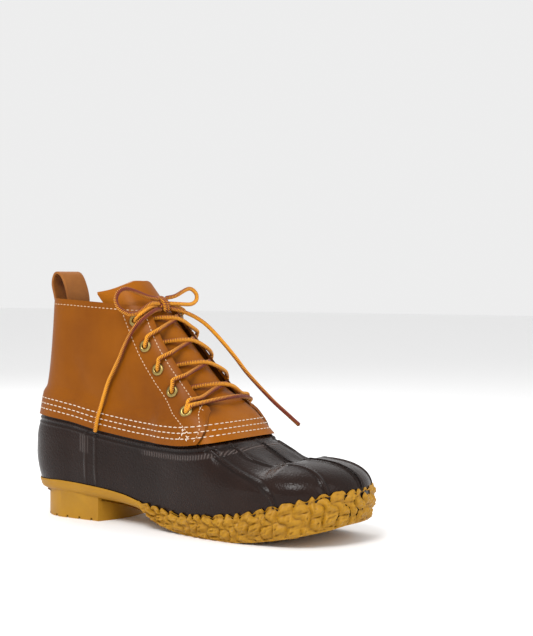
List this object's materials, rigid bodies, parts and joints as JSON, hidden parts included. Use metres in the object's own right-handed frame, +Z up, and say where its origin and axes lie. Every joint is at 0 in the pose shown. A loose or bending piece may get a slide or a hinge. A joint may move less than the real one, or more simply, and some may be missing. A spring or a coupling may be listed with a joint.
{
  "type": "laced duck boot",
  "caption": "Ankle-high laced duck boot for the right foot: leather upper sewn to a rubber shell on a chain-tread rubber sole.",
  "frame": {"origin": "middle of the boot's footprint box on the ground, measured without the bow", "axes": "+X towards the toe, +Y towards the medial side, +Z up from the ground"},
  "size_m": [0.301, 0.1046, 0.1933],
  "materials": {
    "sole": "satin amber gum rubber",
    "shell": "dark brown moulded rubber with a soft sheen",
    "leather": "smooth tan leather",
    "tongue": "smooth tan leather",
    "loop": "tan leather strap",
    "brass": "aged brass",
    "lace": "woven round lace, gold and maroon",
    "insole": "matt footbed"
  },
  "bodies": {
    "root": {"outsole": "sole", "rubber_shell": "shell", "leather_shaft": "leather", "tongue": "tongue", "insole": "insole", "pull_loop": "loop", "eyelet_lateral_1": "brass", "eyelet_lateral_2": "brass", "eyelet_lateral_3": "brass", "eyelet_lateral_4": "brass", "eyelet_lateral_5": "brass", "eyelet_medial_1": "brass", "eyelet_medial_2": "brass", "eyelet_medial_3": "brass", "eyelet_medial_4": "brass", "eyelet_medial_5": "brass", "lace_cross_1": "lace", "lace_cross_2": "lace", "lace_cross_3": "lace", "lace_cross_4": "lace", "lace_knot": "lace", "lace_loop_lateral": "lace", "lace_loop_medial": "lace", "lace_end_lateral": "lace", "lace_end_medial": "lace"}
  },
  "joints": []
}
